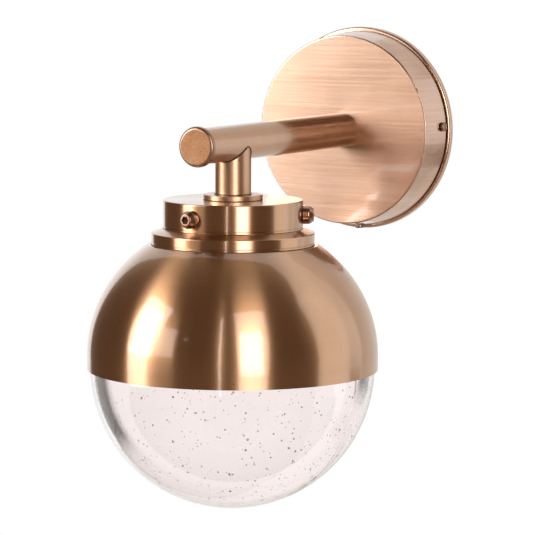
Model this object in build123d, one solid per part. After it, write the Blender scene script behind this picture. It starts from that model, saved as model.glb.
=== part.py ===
from build123d import *
import os
from math import acos, asin, degrees, radians, sqrt, tan

# Outdoor wall light: a round wall base with its cover, a straight arm with a stem hanging from it,
# and a metal half dome with a clear glass globe held by three clamp screws.
# Lengths are in millimetres and +Z is up. The wall is the plane Y = 0 and the light stands out from it
# towards -Y. The origin is the centre of the base on the wall, and the arm's axis runs through it.
# "Out" is the distance from the wall, so Y = -out. "Drop" is the distance below the arm's axis.

# Wall base
base_radius = 60.0
base_rim_depth = 4.5
base_rim_round = 1.6
base_floor = 2.0
spigot_height = 10.5
spigot_wall = 2.2
groove_depth = 1.2
groove_width = 1.0

# Wall gasket in the back of the base
gasket_width = 4.0
gasket_depth = 1.5
gasket_inset = 2.5

# Slots for the wall screws, and the cable entry with its grommet
slot_spacing = 70.0
slot_length = 12.0
slot_width = 5.0
entry_radius = 10.0
grommet_bore_radius = 4.5
grommet_flange = 2.5
grommet_flange_depth = 1.5

# Cover over the base
cover_inset = 2.0
cover_draft = 2.4
cover_depth = 20.5
cover_wall = 1.5
cover_edge_round = 0.9
cover_fit = 0.25

# Screws that hold the cover's skirt to the base, near three, six and nine o'clock
cover_screw_angles = (-3, 87, 177)
cover_screw_set = 3.8
cover_screw_radius = 1.45
cover_screw_length = 8.0
cover_screw_hole_gap = 0.2
pan_head_radius = 2.75
pan_head_height = 1.6
pan_head_round = 0.7
screw_slot_width = 0.8
screw_slot_depth = 0.9

# Arm and stem, cut from one size of tube
tube_radius = 10.0
tube_wall = 1.2
stem_reach = 150.0
arm_overhang = 36.5
cope_gap = 0.05
wire_hole_radius = 6.0

# End cap of the arm
cap_radius = 11.2
cap_thickness = 3.0
cap_round = 1.8
cap_spigot_length = 6.0

# Hollow threaded nipples, with their bushes, washers and nuts
nipple_radius = 4.95
nipple_bore_radius = 3.5
nipple_grip = 10.0
nipple_tail = 2.0
bush_length = 12.0
press_gap = 0.02
thread_gap = 0.05
through_gap = 0.25
washer_radius = 8.0
washer_thickness = 0.8
washer_notches = 10
washer_notch_depth = 1.2
washer_notch_width = 1.5
nut_across_flats = 14.0
nut_thickness = 4.0

# Collar ring and gallery on top of the head
collar_radius = 16.5
collar_thickness = 3.0
collar_round = 0.5
gallery_drop = 31.5
gallery_radius = 39.0
gallery_height = 16.0
gallery_wall = 1.5
gallery_edge_round = 0.8
gallery_foot_round = 0.4

# Clamp screws through the gallery's wall
clamp_names = ("front", "right", "left")
clamp_angles = (-94, 26, 146)
clamp_drop = 39.7
clamp_radius = 2.0
clamp_boss_radius = 4.2
clamp_boss_depth = 2.0
clamp_tip_gap = 0.2
clamp_seat_gap = 0.1
clamp_head_radius = 5.0
clamp_head_rim = 1.2
clamp_head_waist_radius = 4.9
clamp_head_waist = 3.6
clamp_head_tip_radius = 3.4
clamp_head_height = 6.0
clamp_head_round = 0.8
socket_across_flats = 4.0
socket_depth = 3.0

# Ring between the gallery and the dome
ring_step = 6.5
ring_shoulder = 2.3
ring_wall_height = 6.7
ring_bore_margin = 2.5
ring_edge_round = 0.8
ring_foot_round = 0.4

# Fine line turned round the gallery and the ring, just above the foot of each
foot_line_radius = 0.3
foot_line_height = 1.4

# Spun half dome
dome_radius = 81.3
dome_height = 69.5
dome_band = 7.4
dome_wall = 1.2
dome_land_margin = 2.0

# Glass globe with its straight neck, and the seal above the neck
globe_gap = 0.7
globe_set = 1.0
shoulder_gap = 3.0
glass_wall = 2.6
neck_gap = 1.5
neck_blend = 5.0
neck_rim_round = 0.8
seal_thickness = 2.0
seal_overlap = 1.4

# Lamp holder
holder_cap_radius = 20.5
holder_cap_height = 24.0
holder_cap_wall = 2.0
holder_cap_round = 3.0
holder_entry_length = 6.0
skirt_length = 38.0
skirt_wall = 2.2
skirt_grip = 9.0
skirt_lip = 1.6
skirt_lip_height = 4.0
core_thickness = 12.0
shell_bore_radius = 13.2
shell_wall = 0.4
shell_length = 25.0
shell_flange = 1.4
shell_seat = 4.0
shell_pitch = 3.6
shell_thread_depth = 0.9

# Sprung centre contact of the lamp holder
contact_pin_radius = 2.5
contact_pin_length = 6.0
contact_head_radius = 4.0
contact_head_thickness = 1.0
contact_travel = 1.2
contact_spare = 0.3
contact_running_gap = 0.06
spring_length = 3.6
spring_wire_radius = 0.3
spring_turns = 3
spring_side_gap = 0.25

# Terminal posts on the core, and the wires to them
post_radius = 2.2
post_height = 5.0
post_offset = 9.0
wire_radius = 1.05
wire_offset = 1.6
wire_bend = 6.0
bend_share = 0.45

# Terminal block on the base's floor
way_pitch = 8.0
block_depth = 13.0
block_height = 17.0
block_drop = 29.0
block_end_wall = 1.6
block_round = 1.0
ear_length = 7.0
ear_thickness = 4.0
insert_radius = 2.5
insert_bore_radius = 1.6
insert_gap = 0.1
insert_length = 15.0
terminal_screw_radius = 1.3
terminal_screw_head_radius = 1.7
terminal_screw_head = 1.6
terminal_screw_gap = 0.15
terminal_screw_inset = 4.0
fixing_screw_radius = 1.45
fixing_head_radius = 2.6
fixing_head_height = 1.8
fixing_tip_gap = 0.3

# Earth point on the base's floor
earth_x = 30.0
earth_drop = 21.0
earth_boss_radius = 4.5
earth_boss_height = 2.0
earth_screw_radius = 1.95
earth_head_radius = 3.6
earth_head_height = 2.4
earth_washer_radius = 4.0
earth_washer_thickness = 0.8
tag_radius = 3.8
tag_thickness = 0.8
tag_barrel_length = 7.0
tag_barrel_radius = 1.5
tag_gap = 0.3


# Places worked out from the sizes above
shoulder_out = base_rim_depth + groove_width
cover_out = shoulder_out + cover_depth
cover_rear_radius = base_radius - cover_inset
cover_taper = cover_draft / cover_depth
spigot_out = shoulder_out + spigot_height
cover_screw_out = shoulder_out + cover_screw_set
tube_bore = tube_radius - tube_wall
arm_end_out = stem_reach + arm_overhang
wall_nipple_end_out = cover_out - cover_wall - washer_thickness - nut_thickness - nipple_tail

gallery_top = -gallery_drop
collar_top = gallery_top + collar_thickness
gallery_ceiling = gallery_top - gallery_wall
gallery_bottom = gallery_top - gallery_height
ring_edge = gallery_bottom - ring_shoulder
dome_land = ring_edge - ring_wall_height
dome_rim = dome_land - dome_height
dome_equator = dome_rim + dome_band
ring_radius = gallery_radius + ring_step
dome_land_radius = ring_radius + dome_land_margin
neck_radius = gallery_radius - gallery_wall - clamp_boss_depth - neck_gap
dome_crown = (dome_land - dome_equator) / sqrt(1 - (dome_land_radius / dome_radius) ** 2)
ring_bore = neck_radius + ring_bore_margin

globe_radius = dome_radius - dome_wall - globe_gap
globe_centre = dome_rim + globe_set
neck_bore = neck_radius - glass_wall
globe_shoulder = dome_land - dome_wall - shoulder_gap
globe_crown = (globe_shoulder - globe_centre) / sqrt(1 - (ring_bore / globe_radius) ** 2)
neck_top = gallery_ceiling - seal_thickness

holder_top = gallery_ceiling - washer_thickness - nut_thickness
head_nipple_end = holder_top - holder_entry_length
holder_cap_bore = holder_cap_radius - holder_cap_wall
holder_cap_bottom = holder_top - holder_cap_height
skirt_top = holder_cap_bottom + skirt_grip
skirt_bottom = skirt_top - skirt_length
skirt_radius = holder_cap_bore - thread_gap
skirt_bore = skirt_radius - skirt_wall
core_bottom = skirt_top - core_thickness
core_radius = skirt_bore - press_gap
shell_bottom = core_bottom - shell_length
contact_head_top = core_bottom - contact_travel - contact_spare
contact_pin_top = contact_head_top + contact_pin_length
well_roof = contact_pin_top + spring_length

clamp_seat = gallery_radius + clamp_seat_gap
clamp_tip = neck_radius + clamp_tip_gap

way_places = (-way_pitch, 0.0, way_pitch)
block_out = base_floor + block_depth
way_out = base_floor + block_depth / 2
block_width = 2 * way_pitch + 2 * (insert_radius + insert_gap + block_end_wall)
ear_hole_x = block_width / 2 + ear_length / 2
insert_top = -block_drop + insert_length / 2
earth_seat_out = base_floor + earth_boss_height
tag_barrel_start = earth_x - earth_washer_radius - tag_gap
tag_barrel_middle = tag_barrel_start - tag_barrel_length / 2
tag_barrel_out = earth_seat_out + tag_barrel_radius


def cover_radius_at(out):
    """Outside radius of the cover's tapered skirt, at a distance from the wall."""
    return cover_rear_radius - cover_taper * (out - shoulder_out)


def outline(points, rounds=()):
    """Flat face through (radius, height) points. Each entry of rounds is a corner's number and its radius."""
    face = make_face(Polyline(*points, close=True))
    for corner, radius in rounds:
        nearest = face.vertices().sort_by_distance((*points[corner], 0))[0]
        face = fillet(nearest, radius)
    return face


def ring(inner, outer, low, high, rounds=()):
    """Rectangular section of a ring, for turning."""
    return outline([(inner, low), (outer, low), (outer, high), (inner, high)], rounds)


def turned_on_arm(face):
    """Turns a section about the arm's axis. Its heights are distances out from the wall."""
    return revolve(Rot(180, 0, 0) * face, Axis.Y)


def turned_on_stem(face):
    """Turns a section about the stem's vertical axis. Its heights are Z."""
    return Pos(0, -stem_reach, 0) * revolve(Rot(90, 0, 0) * face, Axis.Z)


def turned_along_x(face):
    """Turns a section about the X axis. Its heights are X."""
    return Rot(0, 0, -90) * revolve(face, Axis.Y)


def turned_out_at(face, x, z):
    """Turns a section about a line square to the wall. Its heights are distances out from the wall."""
    return Pos(x, 0, z) * turned_on_arm(face)


def around_arm(solid, angle):
    """Turns a piece made along +X to its clock angle about the arm's axis."""
    return Rot(0, angle, 0) * solid


def around_stem(solid, angle):
    """Turns a piece made along +X to its angle about the stem's axis."""
    return Pos(0, -stem_reach, 0) * Rot(0, 0, angle) * solid


def bend(before, corner, after):
    """Radius of a wire's bend: as large as its two runs leave room for, up to the usual bend."""
    run_in = Vector(corner) - Vector(before)
    run_out = Vector(after) - Vector(corner)
    half_turn = radians(run_in.get_angle(run_out)) / 2
    return min(wire_bend, bend_share * min(run_in.length, run_out.length) / tan(half_turn))


def wire(points):
    """Round wire along straight runs joined by tangent arcs."""
    radii = [bend(*corner) for corner in zip(points, points[1:], points[2:])]
    path = FilletPolyline(*points, radius=radii)
    start = Plane(origin=path @ 0, z_dir=path % 0)
    return sweep(start * Circle(wire_radius), path=path)


def pan_screw(seat, tip, shank_radius, head_radius, head_height, head_round):
    """Slotted pan-head screw along +X, with its head's seat and its tip at the given X."""
    section = outline(
        [(0, tip), (shank_radius, tip), (shank_radius, seat), (head_radius, seat),
         (head_radius, seat + head_height), (0, seat + head_height)],
        rounds=[(4, head_round)],
    )
    slot = Pos(seat + head_height, 0, 0) * Box(2 * screw_slot_depth, screw_slot_width, 4 * head_radius)
    return turned_along_x(section) - slot


def make_wall_base():
    spigot_foot = cover_radius_at(shoulder_out) - cover_wall - cover_fit
    spigot_head = cover_radius_at(spigot_out) - cover_wall - cover_fit
    spigot_bore = spigot_head - spigot_wall
    shoulder = cover_rear_radius - groove_depth
    section = outline(
        [(entry_radius, 0), (base_radius, 0), (base_radius, base_rim_depth), (shoulder, base_rim_depth),
         (shoulder, shoulder_out), (spigot_foot, shoulder_out), (spigot_head, spigot_out),
         (spigot_bore, spigot_out), (spigot_bore, base_floor), (entry_radius, base_floor)],
        rounds=[(1, base_rim_round / 2), (2, base_rim_round)],
    )
    base = turned_on_arm(section)
    base += turned_out_at(ring(0, earth_boss_radius, 0, earth_seat_out), earth_x, -earth_drop)
    gasket_outside = base_radius - gasket_inset
    base -= turned_on_arm(ring(gasket_outside - gasket_width, gasket_outside, 0, gasket_depth))
    for side in (-1, 1):
        slot = Plane.XZ * SlotOverall(slot_length, slot_width)
        base -= Pos(side * slot_spacing / 2, 0, 0) * extrude(slot, base_floor)
        tapped = ring(0, fixing_screw_radius + thread_gap, 0, base_floor)
        base -= turned_out_at(tapped, side * ear_hole_x, -block_drop)
    base -= turned_out_at(ring(0, earth_screw_radius + thread_gap, 0, earth_seat_out), earth_x, -earth_drop)
    hole = turned_along_x(ring(0, cover_screw_radius + thread_gap, spigot_bore / 2, shoulder))
    for angle in cover_screw_angles:
        base -= around_arm(Pos(0, -cover_screw_out, 0) * hole, angle)
    return base


def make_wall_gasket():
    outside = base_radius - gasket_inset
    return turned_on_arm(ring(outside - gasket_width, outside, 0, gasket_depth))


def make_cable_grommet():
    body = entry_radius - press_gap
    flange = entry_radius + grommet_flange
    flange_out = base_floor + grommet_flange_depth
    section = outline(
        [(grommet_bore_radius, 0), (body, 0), (body, base_floor), (flange, base_floor),
         (flange, flange_out), (grommet_bore_radius, flange_out)],
        rounds=[(4, grommet_flange_depth / 2)],
    )
    return turned_on_arm(section)


def make_cover():
    rear = cover_radius_at(shoulder_out)
    front = cover_radius_at(cover_out)
    inside_out = cover_out - cover_wall
    hole = nipple_radius + through_gap
    section = outline(
        [(hole, cover_out), (front, cover_out), (rear, shoulder_out), (rear - cover_wall, shoulder_out),
         (cover_radius_at(inside_out) - cover_wall, inside_out), (hole, inside_out)],
        rounds=[(1, cover_edge_round)],
    )
    cover = turned_on_arm(section)
    hole_radius = cover_screw_radius + cover_screw_hole_gap
    screw_hole = turned_along_x(ring(0, hole_radius, rear / 2, rear + cover_wall))
    for angle in cover_screw_angles:
        cover -= around_arm(Pos(0, -cover_screw_out, 0) * screw_hole, angle)
    return cover


def make_cover_screws():
    seat = cover_radius_at(cover_screw_out - pan_head_radius)
    screw = pan_screw(seat, seat - cover_screw_length, cover_screw_radius,
                      pan_head_radius, pan_head_height, pan_head_round)
    return [around_arm(Pos(0, -cover_screw_out, 0) * screw, angle) for angle in cover_screw_angles]


def make_terminal_block():
    block = Pos(0, -way_out, -block_drop) * Box(block_width, block_depth, block_height)
    block = fillet(block.edges().filter_by(Axis.Y), block_round)
    ear_span = block_width + 2 * ear_length
    ear_out = base_floor + ear_thickness / 2
    ear_height = 2 * fixing_head_radius + 2 * block_round
    block += Pos(0, -ear_out, -block_drop) * Box(ear_span, ear_thickness, ear_height)
    for x in way_places:
        block -= Pos(x, -way_out, -block_drop) * Cylinder(insert_radius + insert_gap, 2 * block_height)
        for z in terminal_screw_heights():
            well = ring(0, terminal_screw_head_radius + terminal_screw_gap, way_out, block_out)
            block -= turned_out_at(well, x, z)
    for side in (-1, 1):
        hole = ring(0, fixing_screw_radius + cover_screw_hole_gap, 0, block_out)
        block -= turned_out_at(hole, side * ear_hole_x, -block_drop)
    return block


def terminal_screw_heights():
    """Heights of the two screws of each way of the terminal block."""
    reach = insert_length / 2 - terminal_screw_inset
    return (-block_drop - reach, -block_drop + reach)


def make_terminal_inserts():
    inserts = []
    for x in way_places:
        insert = Cylinder(insert_radius, insert_length) - Cylinder(insert_bore_radius, 2 * insert_length)
        insert = Pos(x, -way_out, -block_drop) * insert
        for z in terminal_screw_heights():
            tapped = ring(0, terminal_screw_radius + thread_gap, way_out, block_out)
            insert -= turned_out_at(tapped, x, z)
        inserts.append(insert)
    return inserts


def make_terminal_screws():
    tip_out = way_out + wire_radius + thread_gap
    seat_out = way_out + insert_radius + terminal_screw_gap
    head_out = seat_out + terminal_screw_head
    section = outline(
        [(0, tip_out), (terminal_screw_radius, tip_out), (terminal_screw_radius, seat_out),
         (terminal_screw_head_radius, seat_out), (terminal_screw_head_radius, head_out), (0, head_out)])
    slot = Pos(0, -head_out, 0) * Box(4 * terminal_screw_head_radius, screw_slot_depth, screw_slot_width)
    screw = turned_on_arm(section) - slot
    return [Pos(x, 0, z) * screw for x in way_places for z in terminal_screw_heights()]


def make_terminal_fixing_screws():
    seat_out = base_floor + ear_thickness
    screw = pan_screw(seat_out, fixing_tip_gap, fixing_screw_radius, fixing_head_radius,
                      fixing_head_height, fixing_head_height / 2)
    screw = Rot(0, 0, -90) * screw
    return [Pos(side * ear_hole_x, 0, -block_drop) * screw for side in (-1, 1)]


def make_earth_tag():
    hole = earth_screw_radius + through_gap
    eye = ring(hole, tag_radius, earth_seat_out, earth_seat_out + tag_thickness)
    tag = turned_out_at(eye, earth_x, -earth_drop)
    neck_start = earth_x - (hole + tag_radius) / 2
    neck = Box(neck_start - tag_barrel_middle, tag_thickness, 2 * tag_barrel_radius)
    neck_middle = (neck_start + tag_barrel_middle) / 2
    tag += Pos(neck_middle, -earth_seat_out - tag_thickness / 2, -earth_drop) * neck
    barrel = Rot(0, 90, 0) * Cylinder(tag_barrel_radius, tag_barrel_length)
    wire_way = Rot(0, 90, 0) * Cylinder(wire_radius + thread_gap, 2 * tag_barrel_length)
    tag += Pos(tag_barrel_middle, -tag_barrel_out, -earth_drop) * barrel
    tag -= Pos(tag_barrel_start - tag_barrel_length, -tag_barrel_out, -earth_drop) * wire_way
    return tag


def make_earth_washer():
    low = earth_seat_out + tag_thickness
    hole = earth_screw_radius + through_gap
    washer = ring(hole, earth_washer_radius, low, low + earth_washer_thickness)
    return turned_out_at(washer, earth_x, -earth_drop)


def make_earth_screw():
    seat_out = earth_seat_out + tag_thickness + earth_washer_thickness
    screw = pan_screw(seat_out, fixing_tip_gap, earth_screw_radius, earth_head_radius,
                      earth_head_height, earth_head_height / 2)
    return Pos(earth_x, 0, -earth_drop) * Rot(0, 0, -90) * screw


def make_earth_wire():
    turn = tag_barrel_start - tag_barrel_length - wire_bend / 2
    top = insert_top + 2 * wire_bend
    inside = insert_top - terminal_screw_inset / 2
    return wire([
        (way_places[1], -way_out, inside),
        (way_places[1], -way_out, top),
        (turn, -tag_barrel_out, top - wire_bend / 3),
        (turn, -tag_barrel_out, -earth_drop),
        (tag_barrel_middle, -tag_barrel_out, -earth_drop),
    ])


def make_arm_tube():
    arm = turned_on_arm(ring(tube_bore, tube_radius, cover_out, arm_end_out))
    arm -= Pos(0, -stem_reach, -tube_radius) * Cylinder(wire_hole_radius, 2 * tube_radius)
    return arm


def make_arm_end_cap():
    spigot = tube_bore - press_gap
    low = arm_end_out - cap_spigot_length
    high = arm_end_out + cap_thickness
    section = outline(
        [(0, low), (spigot, low), (spigot, arm_end_out), (cap_radius, arm_end_out),
         (cap_radius, high), (0, high)],
        rounds=[(4, cap_round)],
    )
    return turned_on_arm(section)


def make_stem_tube():
    stem = turned_on_stem(ring(tube_bore, tube_radius, collar_top, 0))
    return stem - turned_on_arm(ring(0, tube_radius + cope_gap, cover_out, arm_end_out))


def make_arm_bush():
    section = ring(nipple_radius + thread_gap, tube_bore - press_gap, cover_out, cover_out + bush_length)
    return turned_on_arm(section)


def make_stem_bush():
    section = ring(nipple_radius + thread_gap, tube_bore - press_gap, collar_top, collar_top + bush_length)
    return turned_on_stem(section)


def make_wall_nipple():
    section = ring(nipple_bore_radius, nipple_radius, wall_nipple_end_out, cover_out + nipple_grip)
    return turned_on_arm(section)


def make_head_nipple():
    return turned_on_stem(ring(nipple_bore_radius, nipple_radius, head_nipple_end, collar_top + nipple_grip))


def lock_washer():
    """Washer with notches cut round its edge, lying on the XY plane."""
    washer = Cylinder(washer_radius, washer_thickness)
    washer -= Cylinder(nipple_radius + through_gap, 2 * washer_thickness)
    notch = Pos(washer_radius, 0, 0) * Box(2 * washer_notch_depth, washer_notch_width, 2 * washer_thickness)
    return washer - PolarLocations(0, washer_notches) * notch


def lock_nut():
    """Thin hexagon nut, centred on the XY plane."""
    hexagon = RegularPolygon(nut_across_flats / 2, 6, major_radius=False)
    nut = Pos(0, 0, -nut_thickness / 2) * extrude(hexagon, nut_thickness)
    return nut - Cylinder(nipple_radius + thread_gap, 2 * nut_thickness)


def make_wall_lock_washer():
    place_out = cover_out - cover_wall - washer_thickness / 2
    return Pos(0, -place_out, 0) * Rot(90, 0, 0) * lock_washer()


def make_wall_lock_nut():
    place_out = cover_out - cover_wall - washer_thickness - nut_thickness / 2
    return Pos(0, -place_out, 0) * Rot(90, 0, 0) * lock_nut()


def make_head_lock_washer():
    return Pos(0, -stem_reach, gallery_ceiling - washer_thickness / 2) * lock_washer()


def make_head_lock_nut():
    return Pos(0, -stem_reach, gallery_ceiling - washer_thickness - nut_thickness / 2) * lock_nut()


def make_collar_ring():
    section = ring(nipple_radius + through_gap, collar_radius, gallery_top, collar_top,
                   rounds=[(1, collar_round), (2, collar_round)])
    return turned_on_stem(section)


def foot_line(radius, foot):
    """Section of the fine line turned round a wall of this radius, above its foot."""
    return Pos(radius, foot + foot_line_height) * Circle(foot_line_radius)


def make_gallery():
    bore = gallery_radius - gallery_wall
    hole = nipple_radius + through_gap
    section = outline(
        [(hole, gallery_ceiling), (bore, gallery_ceiling), (bore, gallery_bottom),
         (gallery_radius, gallery_bottom), (gallery_radius, gallery_top), (hole, gallery_top)],
        rounds=[(3, gallery_foot_round), (4, gallery_edge_round)],
    )
    gallery = turned_on_stem(section - foot_line(gallery_radius, gallery_bottom))
    wall_middle = gallery_radius - gallery_wall / 2
    boss = turned_along_x(ring(0, clamp_boss_radius, bore - clamp_boss_depth, wall_middle))
    tapped = turned_along_x(ring(0, clamp_radius + thread_gap, clamp_tip / 2, gallery_radius + gallery_wall))
    for angle in clamp_angles:
        gallery += around_stem(Pos(0, 0, -clamp_drop) * boss, angle)
        gallery -= around_stem(Pos(0, 0, -clamp_drop) * tapped, angle)
    return gallery


def make_clamp_screw(angle):
    head = clamp_seat + clamp_head_height
    section = outline(
        [(0, clamp_tip), (clamp_radius, clamp_tip), (clamp_radius, clamp_seat),
         (clamp_head_radius, clamp_seat), (clamp_head_radius, clamp_seat + clamp_head_rim),
         (clamp_head_waist_radius, clamp_seat + clamp_head_waist), (clamp_head_tip_radius, head), (0, head)],
        rounds=[(3, clamp_head_round / 4), (4, clamp_head_round), (5, 2 * clamp_head_round),
                (6, clamp_head_round)],
    )
    hexagon = Plane.YZ * RegularPolygon(socket_across_flats / 2, 6, major_radius=False)
    socket = Pos(head - socket_depth, 0, 0) * extrude(hexagon, 2 * socket_depth)
    screw = turned_along_x(section) - socket
    return around_stem(Pos(0, 0, -clamp_drop) * screw, angle)


def make_dome_ring():
    section = outline(
        [(ring_bore, dome_land), (ring_radius, dome_land), (ring_radius, ring_edge),
         (gallery_radius, gallery_bottom), (ring_bore, gallery_bottom)],
        rounds=[(1, ring_foot_round), (2, ring_edge_round)],
    )
    return turned_on_stem(section - foot_line(ring_radius, dome_land))


def shoulder_arc(centre, radius, crown, turn):
    """Arc of an ellipse from its widest point upwards: an arc of a circle, stretched upright."""
    arc = scale(CenterArc((0, 0), radius, 0, turn), by=(1, crown / radius, 1))
    return Pos(0, centre, 0) * arc.edge()


def dome_curve(radius, crown, land):
    """Part of an ellipse from the dome's equator up to the height of its flat land."""
    return shoulder_arc(dome_equator, radius, crown, degrees(asin((land - dome_equator) / crown)))


def make_dome_shell():
    outside = dome_curve(dome_radius, dome_crown, dome_land)
    inside = dome_curve(dome_radius - dome_wall, dome_crown - dome_wall, dome_land - dome_wall)
    rim = Polyline(inside @ 0, (dome_radius - dome_wall, dome_rim), (dome_radius, dome_rim), outside @ 0)
    land = Polyline(outside @ 1, (ring_bore, dome_land), (ring_bore, dome_land - dome_wall), inside @ 1)
    return turned_on_stem(make_face([outside, inside, rim, land]))


def globe_curves(radius, crown, neck):
    """Lower quarter circle of the globe, and the flatter curve of its shoulder up to the neck."""
    bowl = CenterArc((0, globe_centre), radius, -90, 90)
    return bowl, shoulder_arc(globe_centre, radius, crown, degrees(acos(neck / radius)))


def make_glass_globe():
    bowl, shoulder = globe_curves(globe_radius, globe_crown, neck_radius)
    inner_bowl, inner_shoulder = globe_curves(globe_radius - glass_wall, globe_crown - glass_wall, neck_bore)
    neck = Polyline(shoulder @ 1, (neck_radius, neck_top), (neck_bore, neck_top), inner_shoulder @ 1)
    foot = Line(bowl @ 0, inner_bowl @ 0)
    face = make_face([bowl, shoulder, neck, inner_shoulder, inner_bowl, foot])
    corners = [
        (shoulder @ 1, neck_blend),
        (inner_shoulder @ 1, neck_blend),
        (Vector(neck_radius, neck_top), neck_rim_round),
        (Vector(neck_bore, neck_top), neck_rim_round),
    ]
    for corner, radius in corners:
        face = fillet(face.vertices().sort_by_distance(corner)[0], radius)
    return turned_on_stem(face)


def make_neck_seal():
    section = ring(neck_bore - seal_overlap, neck_radius + seal_overlap, neck_top, gallery_ceiling)
    return turned_on_stem(section)


def make_holder_cap():
    roof = holder_top - holder_entry_length
    hole = nipple_radius + thread_gap
    section = outline(
        [(hole, roof), (holder_cap_bore, roof), (holder_cap_bore, holder_cap_bottom),
         (holder_cap_radius, holder_cap_bottom), (holder_cap_radius, holder_top), (hole, holder_top)],
        rounds=[(4, holder_cap_round)],
    )
    return turned_on_stem(section)


def make_holder_skirt():
    lip = holder_cap_radius + skirt_lip
    lip_bottom = holder_cap_bottom - skirt_lip_height
    section = outline(
        [(skirt_bore, skirt_bottom), (skirt_radius, skirt_bottom), (skirt_radius, lip_bottom),
         (lip, lip_bottom), (lip, holder_cap_bottom), (skirt_radius, holder_cap_bottom),
         (skirt_radius, skirt_top), (skirt_bore, skirt_top)],
        rounds=[(3, skirt_lip / 2), (4, skirt_lip / 2)],
    )
    return turned_on_stem(section)


def make_holder_core():
    core = turned_on_stem(ring(0, core_radius, core_bottom, skirt_top))
    core -= turned_on_stem(ring(0, contact_pin_radius + contact_running_gap, core_bottom, well_roof))
    return core


def make_screw_shell():
    """Thin shell with rolled rings for the lamp's thread, a wider seat above them and a flange."""
    seat = core_bottom - shell_seat
    turns = int((seat - shell_bottom) / shell_pitch)
    root = shell_bore_radius + shell_thread_depth
    quarter = shell_pitch / 4
    inside = [(shell_bore_radius, shell_bottom)]
    for turn in range(turns):
        low = shell_bottom + shell_wall + turn * shell_pitch
        inside += [(shell_bore_radius, low), (root, low + quarter),
                   (root, low + 2 * quarter), (shell_bore_radius, low + 3 * quarter)]
    inside += [(shell_bore_radius, seat), (root, seat + shell_wall), (root, core_bottom)]
    outside = [(radius + shell_wall, height) for radius, height in inside[:-1]]
    flange = root + shell_wall + shell_flange
    flange_low = core_bottom - shell_wall
    rim = [(root + shell_wall, flange_low), (flange, flange_low), (flange, core_bottom)]
    return turned_on_stem(outline(inside[::-1] + outside + rim))


def make_centre_contact():
    head_bottom = contact_head_top - contact_head_thickness
    section = outline(
        [(0, head_bottom), (contact_head_radius, head_bottom), (contact_head_radius, contact_head_top),
         (contact_pin_radius, contact_head_top), (contact_pin_radius, contact_pin_top), (0, contact_pin_top)],
        rounds=[(1, contact_head_thickness / 2)],
    )
    return turned_on_stem(section)


def make_contact_spring():
    coil_radius = contact_pin_radius - spring_side_gap - spring_wire_radius
    climb = spring_length - 2 * spring_wire_radius
    path = Helix(climb / spring_turns, climb, coil_radius)
    start = Plane(origin=path @ 0, z_dir=path % 0)
    spring = sweep(start * Circle(spring_wire_radius), path=path, is_frenet=True)
    return Pos(0, -stem_reach, contact_pin_top + spring_wire_radius) * spring


def make_holder_terminals():
    post = Cylinder(post_radius, post_height)
    height = skirt_top + post_height / 2
    return [Pos(side * post_offset, -stem_reach, height) * post for side in (-1, 1)]


def make_lamp_wire(side):
    """Wire from one way of the terminal block, through the arm and the stem, to its post on the core."""
    way = way_places[0] if side < 0 else way_places[2]
    inside = insert_top - terminal_screw_inset / 2
    turn_out = wall_nipple_end_out - wire_bend / 2
    run = side * wire_offset
    post_side = side * (post_offset - post_radius)
    post_level = skirt_top + post_height / 2
    return wire([
        (way, -way_out, inside),
        (way, -way_out, insert_top + wire_bend),
        (run, -turn_out, 0),
        (run, -stem_reach, 0),
        (run, -stem_reach, post_level),
        (post_side, -stem_reach, post_level),
    ])


def save(name, solids):
    """Writes one node's file, as one solid or a group of separate ones."""
    group = solids if isinstance(solids, list) else [solids]
    shapes = [solid for piece in group for solid in piece.solids()]
    node = shapes[0] if len(shapes) == 1 else Compound(children=shapes)
    node.label = name
    export_step(node, os.path.join("parts", name + ".step"))


nodes = {
    "wall_base": make_wall_base(),
    "wall_gasket": make_wall_gasket(),
    "cable_grommet": make_cable_grommet(),
    "cover": make_cover(),
    "cover_screws": make_cover_screws(),
    "terminal_block": make_terminal_block(),
    "terminal_inserts": make_terminal_inserts(),
    "terminal_screws": make_terminal_screws(),
    "terminal_fixing_screws": make_terminal_fixing_screws(),
    "earth_tag": make_earth_tag(),
    "earth_washer": make_earth_washer(),
    "earth_screw": make_earth_screw(),
    "earth_wire": make_earth_wire(),
    "arm_tube": make_arm_tube(),
    "arm_end_cap": make_arm_end_cap(),
    "arm_bush": make_arm_bush(),
    "wall_nipple": make_wall_nipple(),
    "wall_lock_washer": make_wall_lock_washer(),
    "wall_lock_nut": make_wall_lock_nut(),
    "stem_tube": make_stem_tube(),
    "stem_bush": make_stem_bush(),
    "collar_ring": make_collar_ring(),
    "gallery": make_gallery(),
    "head_nipple": make_head_nipple(),
    "head_lock_washer": make_head_lock_washer(),
    "head_lock_nut": make_head_lock_nut(),
    "dome_ring": make_dome_ring(),
    "dome_shell": make_dome_shell(),
    "neck_seal": make_neck_seal(),
    "glass_globe": make_glass_globe(),
    "holder_cap": make_holder_cap(),
    "holder_skirt": make_holder_skirt(),
    "holder_core": make_holder_core(),
    "holder_terminals": make_holder_terminals(),
    "screw_shell": make_screw_shell(),
    "centre_contact": make_centre_contact(),
    "contact_spring": make_contact_spring(),
    "live_wire": make_lamp_wire(-1),
    "neutral_wire": make_lamp_wire(1),
}
for name, angle in zip(clamp_names, clamp_angles):
    nodes["clamp_screw_" + name] = make_clamp_screw(angle)

os.makedirs("parts", exist_ok=True)
for name, solids in nodes.items():
    save(name, solids)
print(len(nodes), "nodes written")
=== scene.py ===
# %% [markdown]
# An outdoor wall light in antique copper, with a clear seeded glass globe.
# The imported model comes in as a fixed frame: every piece already has its place and size in metres.

# %% Load the frame
import bpy
import numpy as np
from mathutils import Matrix, Vector


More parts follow.
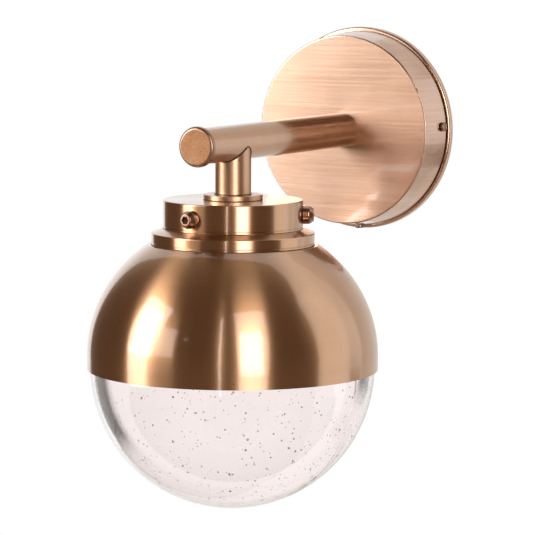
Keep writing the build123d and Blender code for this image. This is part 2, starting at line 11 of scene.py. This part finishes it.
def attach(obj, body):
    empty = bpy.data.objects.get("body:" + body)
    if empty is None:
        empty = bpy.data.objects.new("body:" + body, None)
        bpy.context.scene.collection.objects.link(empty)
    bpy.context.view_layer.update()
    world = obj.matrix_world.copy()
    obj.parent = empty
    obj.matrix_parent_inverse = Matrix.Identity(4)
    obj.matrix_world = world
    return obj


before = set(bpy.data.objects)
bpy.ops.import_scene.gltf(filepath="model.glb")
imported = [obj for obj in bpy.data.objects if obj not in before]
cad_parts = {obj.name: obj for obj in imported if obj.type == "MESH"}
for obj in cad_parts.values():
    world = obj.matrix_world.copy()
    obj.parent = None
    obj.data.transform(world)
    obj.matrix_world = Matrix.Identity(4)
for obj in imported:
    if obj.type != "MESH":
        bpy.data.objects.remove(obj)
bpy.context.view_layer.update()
MM = 0.001

# %% [markdown]
# The camera stands to the right of the light and a little above it, with a long lens.
# Its place was worked out from the ellipses of the wall plate, the gallery and the dome's rim.
# A constraint could aim it, but three directions say the same in plain numbers: a camera looks along its
# own -Z, so its matrix is made from right, up and back.

# %% Camera
CAMERA_AZIMUTH = np.radians(30.63)
CAMERA_HEIGHT = np.radians(6.68)
CAMERA_ROLL = np.radians(0.27)
CAMERA_TARGET = np.array([-7.13, -100.0, -74.99]) * MM
CAMERA_DISTANCE = 1.7
CAMERA_REACH = 50.0
CAMERA_LENS = 199.72
CAMERA_SENSOR = 36.0

level_back = np.array([np.sin(CAMERA_AZIMUTH), -np.cos(CAMERA_AZIMUTH), 0.0])
level_right = np.array([np.cos(CAMERA_AZIMUTH), np.sin(CAMERA_AZIMUTH), 0.0])
upright = np.array([0.0, 0.0, 1.0])
back = level_back * np.cos(CAMERA_HEIGHT) + upright * np.sin(CAMERA_HEIGHT)
up = np.cross(back, level_right)
view_right = level_right * np.cos(CAMERA_ROLL) + up * np.sin(CAMERA_ROLL)
view_up = up * np.cos(CAMERA_ROLL) - level_right * np.sin(CAMERA_ROLL)


def placed(right, above, behind, place):
    """Matrix whose columns are an object's own right, up and back directions, and its place."""
    turned = Matrix(np.column_stack([right, above, behind])).to_4x4()
    return Matrix.Translation(Vector(place)) @ turned


camera_data = bpy.data.cameras.new("camera")
camera_data.lens = CAMERA_LENS
camera_data.sensor_width = CAMERA_SENSOR
camera_data.clip_end = CAMERA_REACH
camera = bpy.data.objects.new("camera", camera_data)
camera.matrix_world = placed(view_right, view_up, back, CAMERA_TARGET + back * CAMERA_DISTANCE)
bpy.context.scene.collection.objects.link(camera)
bpy.context.scene.camera = camera
bpy.context.scene.view_settings.view_transform = "Standard"
print("camera at", [round(value, 3) for value in camera.matrix_world.translation])

# %% [markdown]
# A finish is a small tree of shader nodes. One function adds a node with its settings, fixed inputs
# and links, so that a tree reads from top to bottom as the steps of a recipe.
# Colours are written as the hex values that a screen shows, and turned to linear light for the shader.

# %% Helpers for finishes


def linear(code):
    """Linear colour of an sRGB hex code: each channel is undone from the screen's power curve."""
    channels = np.array([int(code[place:place + 2], 16) for place in (1, 3, 5)]) / 255
    low = channels / 12.92
    high = ((channels + 0.055) / 1.055) ** 2.4
    return (*np.where(channels <= 0.04045, low, high), 1.0)


def add(tree, kind, inputs=None, links=None, **settings):
    """Adds one shader node, with its settings, its fixed inputs and the sockets linked into it."""
    node = tree.nodes.new("ShaderNode" + kind)
    for name, value in settings.items():
        setattr(node, name, value)
    for name, value in (inputs or {}).items():
        node.inputs[name].default_value = value
    for name, socket in (links or {}).items():
        tree.links.new(socket, node.inputs[name])
    return node


def new_finish(name):
    """An empty material: the material, its node tree and its output node."""
    finish = bpy.data.materials.new(name)
    finish.use_nodes = True
    finish.node_tree.nodes.clear()
    return finish, finish.node_tree, add(finish.node_tree, "OutputMaterial")


def dress(finish, *names):
    """Gives a finish to the slots of the frame's nodes."""
    for name in names:
        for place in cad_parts[name].material_slots:
            place.material = finish
    print(finish.name, "on", ", ".join(names))


# %% [markdown]
# A new piece is a grid of points, worked out as whole arrays, and the quads between them.
# The same two functions make the studio's cards, the floor and the joints of the light.

# %% Helpers for pieces


def show(name, points, faces):
    """Smooth object made from points and faces, at the origin."""
    mesh = bpy.data.meshes.new(name)
    mesh.from_pydata(points.reshape(-1, 3), [], faces)
    mesh.polygons.foreach_set("use_smooth", np.ones(len(faces), bool))
    piece = bpy.data.objects.new(name, mesh)
    bpy.context.scene.collection.objects.link(piece)
    return piece


def grid_piece(name, points, loop=False):
    """Quads on a grid of points, rows by columns. Columns close on themselves, and so do rows of a loop."""
    rows, columns = points.shape[:2]
    places = np.arange(rows * columns).reshape(rows, columns)
    above = np.roll(places, -1, axis=0)
    quads = np.stack([places, np.roll(places, -1, axis=1), np.roll(above, -1, axis=1), above], axis=-1)
    return show(name, points, (quads if loop else quads[:-1]).reshape(-1, 4))


# %% [markdown]
# The studio is white all round. A dark card in front and a grey one below draw dark bands on the
# polished metal, as a photographer's cards do, and two paler ones keep the far right from going white.
# Flat cards would do from one side only. Here each card is a patch of a large ball round the light,
# worked out from its outline: its points slide from the card's middle to the outline along the ball.

# %% White surroundings and cards
STUDIO_MIDDLE = np.array([0.0, -150.0, -100.0]) * MM
# turns along a level edge, close enough together for the edge to stay level on the ball
LEVEL_TURNS = (-110, -75, -38, 0, 36, 71)
# name: distance in m, middle and outline as (turn, rise) in degrees, colour
CARDS = {
    "front_card": (3.0, (-38, 20), [
        (-147, -30), *((turn, -30) for turn in LEVEL_TURNS), (71, 5), (71, 40), (91, 58), (111, 68),
        (180, 83), (224, 75), (231, 59), (221, 39), (213, 24), (211, 0)], "#6A5545"),
    "low_card": (1.2, (-38, -58), [
        (-150, -27), *((turn, -27) for turn in LEVEL_TURNS), (90, -55), (142, -72), (190, -55)], "#A89C95"),
    "right_card": (2.5, (140, -20), [
        (122, -65), (140, -68), (173, -65), (173, 22), (155, 46), (130, 52), (122, 40)], "#DED5CD"),
    "right_low_card": (2.4, (112, -20), [(105, -36), (119, -36), (119, -9), (105, -9)], "#94867D"),
}
CARD_EDGE_STEPS = 12
CARD_RINGS = 24
CARD_FIRST_RING = 0.02


def toward(turn, rise):
    """Unit direction at a turn to the right of the camera and a rise above the level, both in degrees.

    The rise's cosine goes along the level and its sine goes up.
    """
    turn, rise = np.radians(turn)[..., None], np.radians(rise)[..., None]
    level = np.cos(turn) * level_back + np.sin(turn) * level_right
    return np.cos(rise) * level + np.sin(rise) * upright


def slide(start, end, share):
    """Direction part of the way along the great circle from start to end.

    Start counts by the sine of the angle still to go and end by the sine of the angle already gone,
    both over the sine of the whole angle.
    """
    angle = np.arccos(np.clip((start * end).sum(-1, keepdims=True), -1, 1))
    return (np.sin((1 - share) * angle) * start + np.sin(share * angle) * end) / np.sin(angle)


def card(name, distance, middle, outline, colour):
    """Card that shows in reflections on metal, but neither straight to the camera nor through glass."""
    corners = toward(*np.array(outline).T)
    steps = np.linspace(0, 1, CARD_EDGE_STEPS, endpoint=False)[:, None]
    sides = zip(corners, np.roll(corners, -1, axis=0))
    edge = np.concatenate([slide(here, there, steps) for here, there in sides])
    shares = np.linspace(CARD_FIRST_RING, 1, CARD_RINGS)[:, None, None]
    points = STUDIO_MIDDLE + distance * slide(toward(*middle), edge[None], shares)
    piece = grid_piece(name, points)
    piece.visible_camera = False
    piece.visible_diffuse = False
    piece.visible_transmission = False
    finish, tree, output = new_finish(name)
    glow = add(tree, "Emission", {"Color": linear(colour)})
    tree.links.new(glow.outputs[0], output.inputs["Surface"])
    piece.data.materials.append(finish)
    print(name, "of", len(piece.data.polygons), "faces")


for name, numbers in CARDS.items():
    card(name, *numbers)

world = bpy.data.worlds.new("white_studio")
world.use_nodes = True
world.node_tree.nodes["Background"].inputs["Color"].default_value = linear("#FFFFFF")
bpy.context.scene.world = world

# %% [markdown]
# A soft box on the left, one in front and a narrow strip give the bright columns on the dome, the gallery
# and the stem. A real box is brightest in its middle and spills a little past its frame, so the two large
# ones have a nearer core, and the left one an edge and a foot. The box on the right is turned down so far
# that it shows as a dark panel. Glowing planes could do the same, but area lamps leave less noise.
# An area lamp spreads its power over its area, so the power is worked out from the brightness that
# a mirror would show.

# %% Soft boxes
# name: turn, rise, distance in m, width and height in degrees, brightness
SOFT_BOXES = {
    "left_box": (-76, 22, 1.7, 28, 38, 3.4),
    "left_box_core": (-75, 20, 1.65, 18, 28, 5.6),
    "left_box_edge": (-54, 15, 1.7, 15, 22, 2.0),
    "left_box_foot": (-78, -3, 1.7, 19, 20, 3.0),
    "front_box": (16.5, 17, 1.9, 25, 58, 2.2),
    "front_box_core": (16, 11, 1.85, 18, 34, 4.2),
    "right_box": (90, 14, 2.2, 30, 64, 0.2),
    "narrow_strip": (-9, 12, 1.8, 1.4, 56, 4.8),
}


def soft_box(name, turn, rise, distance, width, height, brightness):
    """Area lamp facing the light: a side is twice the distance times the tangent of half its angle."""
    behind = toward(turn, rise)
    right = np.cross(upright, behind)
    right /= np.linalg.norm(right)
    lamp = bpy.data.lights.new(name, "AREA")
    lamp.shape = "RECTANGLE"
    lamp.size = 2 * distance * np.tan(np.radians(width / 2))
    lamp.size_y = 2 * distance * np.tan(np.radians(height / 2))
    lamp.energy = brightness * np.pi * lamp.size * lamp.size_y
    box = bpy.data.objects.new(name, lamp)
    box.matrix_world = placed(right, np.cross(behind, right), behind, STUDIO_MIDDLE + behind * distance)
    box.visible_camera = False
    bpy.context.scene.collection.objects.link(box)
    print(name, round(lamp.size, 2), "by", round(lamp.size_y, 2), "m,", round(lamp.energy, 1), "W")


for name, numbers in SOFT_BOXES.items():
    soft_box(name, *numbers)

# %% [markdown]
# The light hangs on a wall at about head height, so the pale floor is far below it.
# A round floor made of rings has no corner that could show in the metal.

# %% Floor
FLOOR_DROP = 1.5
FLOOR_RADII = np.linspace(0.001, 3.0, 8)
FLOOR_TURNS = np.radians(np.arange(0, 360, 5))

rings, around = np.meshgrid(FLOOR_RADII, FLOOR_TURNS, indexing="ij")
floor_points = np.stack([rings * np.cos(around), rings * np.sin(around) + STUDIO_MIDDLE[1],
                         np.full_like(rings, -FLOOR_DROP)], -1)
floor = grid_piece("floor", floor_points)
floor_finish, tree, output = new_finish("pale_floor")
shader = add(tree, "BsdfPrincipled", {"Base Color": linear("#E4DFDA"), "Roughness": 0.9})
tree.links.new(shader.outputs[0], output.inputs["Surface"])
floor.data.materials.append(floor_finish)
print("floor", FLOOR_DROP, "m below the arm, of", len(floor.data.polygons), "faces")

# %% [markdown]
# Antique copper: sheet and tube plated with copper, brushed on a wheel and sealed with clear lacquer.
# Brushing spreads a reflection across its lines and leaves it sharp along them, which is anisotropy.
# The lacquer is the shader's coat: it adds a second, sharp reflection on top, strongest at a flat angle.
# Handling and ageing leave soft clouds in the colour, and a few dark pits show through the lacquer.
# The marks could be cut into the mesh, but noise that is stretched along the brush gives them at any size.
# Real ones are about a tenth of a millimetre wide, too fine to show, so they are drawn several times coarser.

# %% Antique copper
# in mm
CLOUD_SIZE = 22
PIT_SPACING = 1.4
MARK_DEPTH = 0.03
# noise levels: the width of a pit's edge, where a colour is all dark and all pale, and where the gloss ends
PIT_EDGE = 0.05
TONE_ENDS = (0.35, 0.65)
GLOSS_ENDS = (0.3, 0.7)
GLOSS_SWING = 0.01
PIT_COLOUR = "#6E4A33"


def brushed_copper(name, lines, axis, turn, roughness, anisotropy, pale="#C39670", dark="#BA8D66",
                   pits=0.86, lacquer=0.07, relief=0.004, streaks=0.35):
    """Brushed and lacquered copper.

    Lines gives the brush marks' size in mm along X, Y and Z. Axis and turn set the way that they run.
    Pits is the noise level above which a pit shows, and streaks the brush marks' share of the colour.
    """
    finish, tree, output = new_finish(name)
    place = add(tree, "TexCoord").outputs["Object"]
    marks = add(tree, "Mapping", {"Scale": [1 / (size * MM) for size in lines]}, {"Vector": place})
    brush = add(tree, "TexNoise", {"Scale": 1.0, "Detail": 3.0, "Roughness": 0.6},
                {"Vector": marks.outputs[0]}).outputs["Fac"]
    cloud = add(tree, "TexNoise", {"Scale": 1 / (CLOUD_SIZE * MM), "Detail": 3.0}, {"Vector": place})
    mixed = add(tree, "Mix", {"Factor": streaks}, {"A": cloud.outputs["Fac"], "B": brush})
    shade = add(tree, "ValToRGB", links={"Fac": mixed.outputs[0]})
    for end, level, tone in zip(shade.color_ramp.elements, TONE_ENDS, (dark, pale)):
        end.position = level
        end.color = linear(tone)
    spots = add(tree, "TexNoise", {"Scale": 1 / (PIT_SPACING * MM), "Detail": 0.0}, {"Vector": place})
    pitted = add(tree, "MapRange", {"From Min": pits, "From Max": pits + PIT_EDGE},
                 {"Value": spots.outputs["Fac"]})
    colour = add(tree, "MixRGB", {"Color2": linear(PIT_COLOUR)},
                 {"Fac": pitted.outputs[0], "Color1": shade.outputs["Color"]})
    gloss = add(tree, "MapRange",
                {"From Min": GLOSS_ENDS[0], "From Max": GLOSS_ENDS[1],
                 "To Min": roughness - GLOSS_SWING, "To Max": roughness + GLOSS_SWING}, {"Value": brush})
    bump = add(tree, "Bump", {"Strength": relief, "Distance": MARK_DEPTH * MM}, {"Height": brush})
    along = add(tree, "Tangent", direction_type="RADIAL", axis=axis)
    shader = add(
        tree, "BsdfPrincipled",
        {"Metallic": 1.0, "Anisotropic": anisotropy, "Anisotropic Rotation": turn,
         "Coat Weight": 1.0, "Coat Roughness": lacquer, "Coat IOR": 1.7},
        {"Base Color": colour.outputs["Color"], "Roughness": gloss.outputs[0], "Normal": bump.outputs[0],
         "Tangent": along.outputs[0]})
    tree.links.new(shader.outputs[0], output.inputs["Surface"])
    return finish


dress(brushed_copper("copper_brushed_plate", lines=(50, 50, 0.9), axis="Z", turn=0.25, roughness=0.245,
                     anisotropy=0.94, pale="#D7B39B", dark="#C7A188", relief=0.002, streaks=0.65),
      "cover", "wall_base")
dress(brushed_copper("copper_spun", lines=(150, 150, 0.4), axis="Z", turn=0.25, roughness=0.285,
                     anisotropy=0.95, lacquer=0.08),
      "dome_shell", "dome_ring", "gallery")
dress(brushed_copper("copper_satin_stem", lines=(150, 150, 0.4), axis="Z", turn=0.25, roughness=0.34,
                     anisotropy=0.0, lacquer=0.3),
      "stem_tube", "collar_ring")
dress(brushed_copper("copper_brushed_tube", lines=(0.6, 150, 0.6), axis="Y", turn=0.0, roughness=0.265,
                     anisotropy=0.95, lacquer=0.085),
      "arm_tube")

# %% [markdown]
# The arm's end cap is turned and left duller, with a speckled face.
# The screws are dipped in a darker bronze bath, so that their heads stand out.
# Both are the same copper with short marks and no direction, so one function serves them too.

# %% End cap and screws
dress(brushed_copper("copper_dull_cap", lines=(2.2, 2.2, 0.6), axis="Y", turn=0.0, roughness=0.4,
                     anisotropy=0.0, pale="#B58B68", dark="#83573A", pits=0.83),
      "arm_end_cap")
dress(brushed_copper("bronze_dipped_screw", lines=(1.5, 1.5, 1.5), axis="Z", turn=0.0, roughness=0.28,
                     anisotropy=0.0, pale="#96684A", dark="#7A5036"),
      "cover_screws", "clamp_screw_front", "clamp_screw_right", "clamp_screw_left")

# %% [markdown]
# Clear soda glass, blown into a mould. It looks faintly pink because the light that comes through has met
# the copper inside; that copper-coloured light is painted into the glass's colour as a very pale pink tint,
# and each of its faces lets most of the light through.
# Below the dome's rim, where the inner face is seen at a flat angle, the glass gathers the dark of its
# surroundings into a soft band, and that band is painted shade in the glass's colour. A card behind the globe
# could give it, but would grey the glass from other sides, so Layer Weight paints it by that angle. The
# painted band fades out further down, later on the side away from the wall, so the fade is measured along a
# leaning line.

# %% Seeded glass
GLASS_IOR = 1.5
# painted light: a very pale pink in the glass's colour, for light that has met the copper inside
COPPER_CAST_TINT = "#FFF9F8"
# painted shade: the dark of the surroundings, painted into the glass's colour as a band
PAINTED_BAND_TINT = "#1A1B1A"
GLOBE_CENTRE = np.array([0.0, -150.0, -125.0]) * MM
# two distances from the middle, past the wall's inner face and short of its outer one
INNER_FACE = np.array([77.4, 77.8]) * MM
# Layer Weight's facing where the band begins and where it is full
BAND_ANGLE = (0.52, 0.66)
# the leaning line, and how far along it the band is gone and is full
BAND_LEAN = (-0.18, -0.11, 1.0)
BAND_HEIGHT = np.array([-43, -27]) * MM

glass, tree, output = new_finish("seeded_glass")
place = add(tree, "TexCoord").outputs["Object"]
shifted = add(tree, "VectorMath", {1: GLOBE_CENTRE}, {0: place}, operation="SUBTRACT")
distance = add(tree, "VectorMath", links={0: shifted.outputs[0]}, operation="LENGTH")
inner = add(tree, "MapRange", {"From Min": INNER_FACE[1], "From Max": INNER_FACE[0]},
            {"Value": distance.outputs["Value"]})
height = add(tree, "VectorMath", {1: BAND_LEAN}, {0: shifted.outputs[0]}, operation="DOT_PRODUCT")
fade = add(tree, "MapRange", {"From Min": BAND_HEIGHT[0], "From Max": BAND_HEIGHT[1]},
           {"Value": height.outputs["Value"]}, interpolation_type="SMOOTHSTEP")
angle = add(tree, "LayerWeight", {"Blend": 0.5})
flat = add(tree, "MapRange", {"From Min": BAND_ANGLE[0], "From Max": BAND_ANGLE[1]},
           {"Value": angle.outputs["Facing"]}, interpolation_type="SMOOTHSTEP")
# painted shade: the dark band is the product of the inner-face, leaning-fade and flat-angle masks, mixed into
# the glass's colour below
inner_fade = add(tree, "Math", links={0: inner.outputs[0], 1: fade.outputs[0]}, operation="MULTIPLY")
painted_band = add(tree, "Math", links={0: inner_fade.outputs[0], 1: flat.outputs[0]}, operation="MULTIPLY")
painted_glass_tint = add(tree, "MixRGB", {"Color1": linear(COPPER_CAST_TINT), "Color2": linear(PAINTED_BAND_TINT)},
           {"Fac": painted_band.outputs[0]})
shader = add(tree, "BsdfPrincipled", {"Roughness": 0.0, "IOR": GLASS_IOR, "Transmission Weight": 1.0},
             {"Base Color": painted_glass_tint.outputs["Color"]})
tree.links.new(shader.outputs[0], output.inputs["Surface"])
dress(glass, "glass_globe")

# %% [markdown]
# The seeds are bubbles of air that were left in the melt. They lie inside the wall of the glass, most under a
# millimetre across, and look dark because light that meets them at a flat angle is turned away.
# Painted dots would lie on the surface, so each seed is a real ball from three rings and two poles,
# copied to its place at its own size.

# %% Seeds in the glass
SEED_SHELL = 78.1 * MM
# the globe is flatter above its middle
SEED_SHELL_ABOVE = 71.1 * MM
SEED_TOP = 0.7
SEED_COUNT = 1000
# the number that the random draws start from
SEED_DRAW = 11
SEED_RADIUS = 0.36 * MM
SEED_SPREAD = 0.35
SEED_LIMITS = np.array([0.16, 0.7]) * MM
RING_STEPS = 8
RING_RISES = np.radians([-45, 0, 45])


def seeds():
    """Balls at even chance over the globe, set on the middle of the wall.

    Each has an even turn and an even height, and its radius is the usual one times a power of e.
    """
    chance = np.random.default_rng(SEED_DRAW)
    height = chance.uniform(-1, SEED_TOP, SEED_COUNT)
    turn = chance.uniform(0, 2 * np.pi, SEED_COUNT)
    level = np.sqrt(1 - height ** 2)
    places = np.stack([level * np.cos(turn), level * np.sin(turn), height], -1) * SEED_SHELL
    places[height > 0, 2] *= SEED_SHELL_ABOVE / SEED_SHELL
    sizes = np.clip(SEED_RADIUS * np.exp(SEED_SPREAD * chance.standard_normal(SEED_COUNT)), *SEED_LIMITS)
    around = np.linspace(0, 2 * np.pi, RING_STEPS, endpoint=False)
    rise = RING_RISES[:, None]
    rings = np.stack([np.cos(rise) * np.cos(around), np.cos(rise) * np.sin(around),
                      np.sin(rise) * np.ones_like(around)], -1).reshape(-1, 3)
    ball = np.concatenate([rings, [[0, 0, -1], [0, 0, 1]]])
    here = np.arange(RING_STEPS)
    after = np.roll(here, -1)
    sides = np.stack([here, after, after + RING_STEPS, here + RING_STEPS], -1)
    sides = np.concatenate([sides, sides + RING_STEPS])
    top = 2 * RING_STEPS
    south = np.full(RING_STEPS, 3 * RING_STEPS)
    north = south + 1
    caps = np.concatenate([np.stack([south, after, here], -1),
                           np.stack([north, here + top, after + top], -1)])
    starts = np.arange(SEED_COUNT)[:, None, None] * len(ball)
    points = GLOBE_CENTRE + places[:, None] + sizes[:, None, None] * ball
    faces = (sides + starts).reshape(-1, 4).tolist() + (caps + starts).reshape(-1, 3).tolist()
    return show("glass_seeds", points, faces)


seed_piece = seeds()
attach(seed_piece, "globe")
air, tree, output = new_finish("air_bubble")
# air inside glass turns light the other way, so its index is one over that of the glass
shader = add(tree, "BsdfPrincipled", {"Base Color": linear("#FFFFFF"), "Roughness": 0.0,
                                      "IOR": 1 / GLASS_IOR, "Transmission Weight": 1.0})
tree.links.new(shader.outputs[0], output.inputs["Surface"])
seed_piece.data.materials.append(air)
print("seeds:", SEED_COUNT, "bubbles,", len(seed_piece.data.polygons), "faces")

# %% [markdown]
# The other finishes are plain ones: a base colour with a fine grain in its colour, gloss and relief.
# Each could have a tree of its own, but they differ only in numbers, so one function makes them
# from the grain's size on the real surface.

# %% Grained finishes
GRAIN_STRENGTH = 0.5
ROUGHNESS_SHARES = (0.8, 1.2)


def grained(name, pale, dark, grain, roughness, relief, **more):
    """Surface with a fine grain. Grain is its size in mm, and relief its height in mm."""
    finish, tree, output = new_finish(name)
    place = add(tree, "TexCoord").outputs["Object"]
    grains = add(tree, "TexNoise", {"Scale": 1 / (grain * MM), "Detail": 4.0},
                 {"Vector": place}).outputs["Fac"]
    shade = add(tree, "ValToRGB", links={"Fac": grains})
    for end, level, tone in zip(shade.color_ramp.elements, TONE_ENDS, (dark, pale)):
        end.position = level
        end.color = linear(tone)
    gloss = add(tree, "MapRange",
                {"From Min": GLOSS_ENDS[0], "From Max": GLOSS_ENDS[1],
                 "To Min": ROUGHNESS_SHARES[0] * roughness, "To Max": ROUGHNESS_SHARES[1] * roughness},
                {"Value": grains})
    bump = add(tree, "Bump", {"Strength": GRAIN_STRENGTH, "Distance": relief * MM}, {"Height": grains})
    shader = add(tree, "BsdfPrincipled", more,
                 {"Base Color": shade.outputs["Color"], "Roughness": gloss.outputs[0],
                  "Normal": bump.outputs[0]})
    tree.links.new(shader.outputs[0], output.inputs["Surface"])
    return finish


# %% [markdown]
# The stem is brazed to the arm along a saddle curve and filed flush. Patina stays dark in that joint, and
# in the joints at the foot of the stem, the collar, the gallery and the ring, where a cloth doesn't reach.
# Dark lines could be painted on the copper, but each joint is a curve with a simple formula, so a small round
# profile is carried along it. The saddle goes round the stem, as high as the arm's underside is there,
# and the other joints are circles round the stem.

# %% Dark joints
TUBE_RADIUS = 10.0 * MM
STEM_OUT = 150.0 * MM
JOINT_RADIUS = 0.35 * MM
JOINT_STEPS = 160
PROFILE_STEPS = 10
# name: radius of the circle and its height, in mm
ROUND_JOINTS = {"stem_foot_joint": (10.1, -28.4), "collar_foot_joint": (16.2, -31.4),
                "gallery_foot_joint": (38.8, -47.6), "ring_foot_joint": (45.3, -56.4)}
patina = grained("patina_in_joint", "#5A3E2C", "#38261B", grain=1.0, roughness=0.5, relief=0.02, Metallic=0.6)
turn = np.linspace(0, 2 * np.pi, JOINT_STEPS, endpoint=False)
outward = np.stack([np.cos(turn), np.sin(turn), np.zeros_like(turn)], -1)


def joint_line(name, radius, height):
    """Round profile along a closed path round the stem: a ring about each point, square to the path."""
    path = radius * outward + np.stack([np.zeros_like(turn), np.full_like(turn, -STEM_OUT), height], -1)
    ahead = np.roll(path, -1, axis=0) - np.roll(path, 1, axis=0)
    side = np.cross(ahead, outward)
    side /= np.linalg.norm(side, axis=1, keepdims=True)
    over = np.cross(side, ahead)
    over /= np.linalg.norm(over, axis=1, keepdims=True)
    profile = np.linspace(0, 2 * np.pi, PROFILE_STEPS, endpoint=False)[None, :, None]
    rounds = np.cos(profile) * over[:, None] + np.sin(profile) * side[:, None]
    piece = grid_piece(name, path[:, None] + JOINT_RADIUS * rounds, loop=True)
    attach(piece, "fitting")
    piece.data.materials.append(patina)
    print(name, "of", len(piece.data.polygons), "faces")


saddle = -np.sqrt((TUBE_RADIUS + JOINT_RADIUS / 2) ** 2 - (TUBE_RADIUS * np.cos(turn)) ** 2)
joint_line("brazed_joint", TUBE_RADIUS, saddle)
for name, (radius, height) in ROUND_JOINTS.items():
    joint_line(name, radius * MM, np.full_like(turn, height * MM))

# %% [markdown]
# Inside, the threaded tubes, contacts and inserts are turned from brass, and the nuts, washers and screws
# are steel with a bright zinc plate. The contact's spring is drawn from spring steel.
# They are seen only through the glass or with the cover off, so a fine grain is enough for them.

# %% Brass and steel
dress(grained("brass_turned", "#E0C078", "#C9A660", grain=0.6, roughness=0.25, relief=0.005, Metallic=1.0),
      "arm_bush", "stem_bush", "wall_nipple", "head_nipple", "terminal_inserts", "holder_terminals",
      "screw_shell", "centre_contact")
dress(grained("steel_zinc_plated", "#D9DBDC", "#BFC4C8", grain=1.5, roughness=0.3, relief=0.005,
              Metallic=1.0),
      "wall_lock_nut", "wall_lock_washer", "head_lock_nut", "head_lock_washer", "terminal_screws",
      "terminal_fixing_screws", "earth_screw", "earth_washer", "earth_tag")
dress(grained("steel_drawn_wire", "#C4C5C8", "#A3A5AA", grain=0.3, roughness=0.2, relief=0.002, Metallic=1.0),
      "contact_spring")

# %% [markdown]
# The lamp holder is moulded from black phenolic with a glazed porcelain core. The terminal block is nylon.
# The wall gasket and the grommet are black EPDM rubber, and the globe sits against a pale silicone seal.
# A coat gives the porcelain its glaze, and a little light goes into the nylon and through the silicone.

# %% Porcelain, plastics and rubber
dress(grained("porcelain_glazed", "#F3F1EA", "#E8E5DC", grain=4.0, roughness=0.12, relief=0.01,
              **{"Coat Weight": 1.0}),
      "holder_core")
dress(grained("phenolic_moulded", "#2B2928", "#1B1A1A", grain=0.5, roughness=0.35, relief=0.004),
      "holder_cap", "holder_skirt")
dress(grained("nylon_moulded", "#EFEEE8", "#E0DED5", grain=0.8, roughness=0.45, relief=0.01,
              **{"Subsurface Weight": 0.2}),
      "terminal_block")
dress(grained("rubber_epdm", "#33312F", "#222120", grain=0.4, roughness=0.7, relief=0.02),
      "wall_gasket", "cable_grommet")
dress(grained("rubber_silicone", "#E6E4DF", "#D6D3CC", grain=1.0, roughness=0.5, relief=0.01,
              **{"Transmission Weight": 0.2}),
      "neck_seal")

# %% [markdown]
# The wires are insulated with soft PVC: brown for live, blue for neutral, and green with a yellow stripe
# for earth. The earth wire lies along the base, so its stripe is the side that faces away from the wall.
# The surface's own direction finds that side, with no need for a second piece.

# %% Wire insulation
# the surface direction's share along Y where the stripe begins and where it is full
STRIPE_EDGE = (-0.62, -0.66)
STRIPE_COLOUR = "#E8D23C"

dress(grained("pvc_brown", "#6E3F22", "#5C331B", grain=1.2, roughness=0.4, relief=0.004), "live_wire")
dress(grained("pvc_blue", "#2E66B0", "#24559A", grain=1.2, roughness=0.4, relief=0.004), "neutral_wire")
earth = grained("pvc_green_yellow", "#3F8F3A", "#347C31", grain=1.2, roughness=0.4, relief=0.004)
tree = earth.node_tree
facing = add(tree, "SeparateXYZ", links={"Vector": add(tree, "TexCoord").outputs["Normal"]})
stripe = add(tree, "MapRange", {"From Min": STRIPE_EDGE[0], "From Max": STRIPE_EDGE[1]},
             {"Value": facing.outputs["Y"]})
shader = next(node for node in tree.nodes if node.type == "BSDF_PRINCIPLED")
green = shader.inputs["Base Color"].links[0].from_socket
two_colours = add(tree, "MixRGB", {"Color2": linear(STRIPE_COLOUR)},
                  {"Fac": stripe.outputs[0], "Color1": green})
tree.links.new(two_colours.outputs["Color"], shader.inputs["Base Color"])
dress(earth, "earth_wire")
